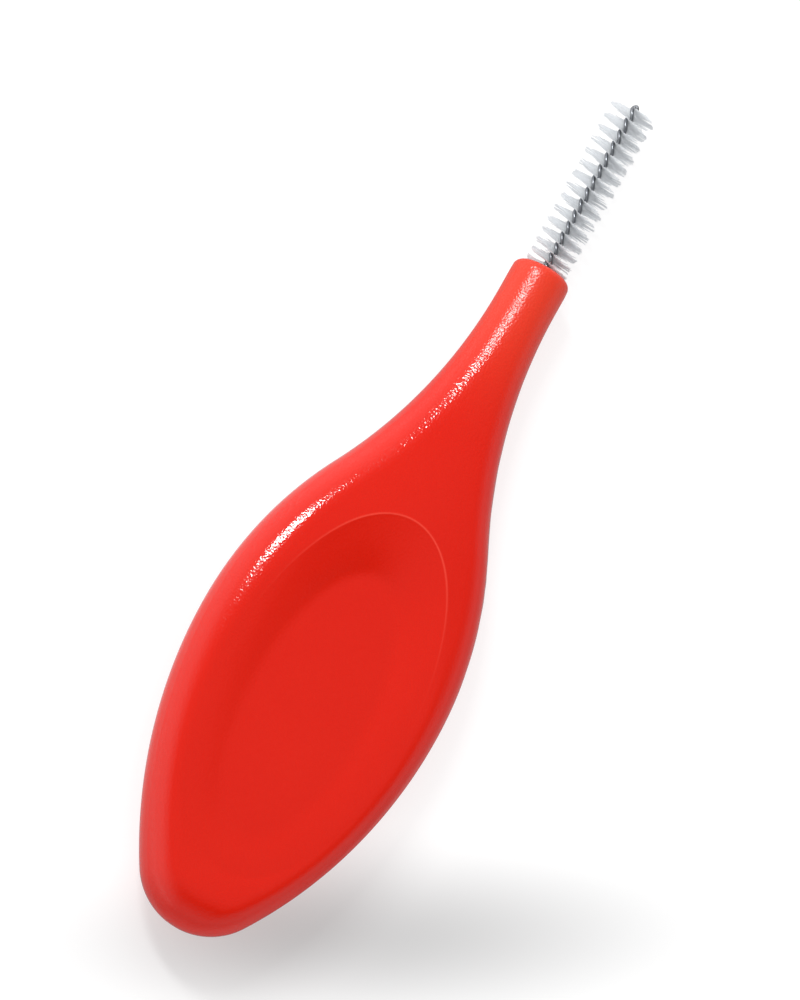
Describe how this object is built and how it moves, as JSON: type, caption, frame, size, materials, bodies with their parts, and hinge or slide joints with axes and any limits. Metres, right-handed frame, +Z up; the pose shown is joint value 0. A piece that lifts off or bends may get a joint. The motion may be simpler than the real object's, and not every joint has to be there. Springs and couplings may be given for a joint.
{
  "type": "interdental brush",
  "caption": "Small interdental brush: a flat teardrop handle with thumb dishes and a flared neck that holds a twisted wire with rows of fine filaments.",
  "frame": {"origin": "on the surface that the brush lies on, under the middle of its whole length and of its width", "axes": "+X along the length from the handle's base to the brush's tip, +Y across the handle, +Z up out of the face with the front thumb dish"},
  "size_m": [0.0538, 0.0154, 0.0048],
  "materials": {
    "handle_plastic": "glossy moulded polypropylene, red",
    "wire_steel": "drawn stainless wire",
    "filament_nylon": "fine translucent white nylon filament"
  },
  "bodies": {
    "root": {"handle": "handle_plastic", "twisted_wire": "wire_steel", "filament_row_01": "filament_nylon", "filament_row_02": "filament_nylon", "filament_row_03": "filament_nylon", "filament_row_04": "filament_nylon", "filament_row_05": "filament_nylon", "filament_row_06": "filament_nylon", "filament_row_07": "filament_nylon", "filament_row_08": "filament_nylon", "filament_row_09": "filament_nylon", "filament_row_10": "filament_nylon", "filament_row_11": "filament_nylon", "filament_row_12": "filament_nylon", "filament_row_13": "filament_nylon", "filament_row_14": "filament_nylon", "filament_row_15": "filament_nylon"}
  },
  "joints": []
}
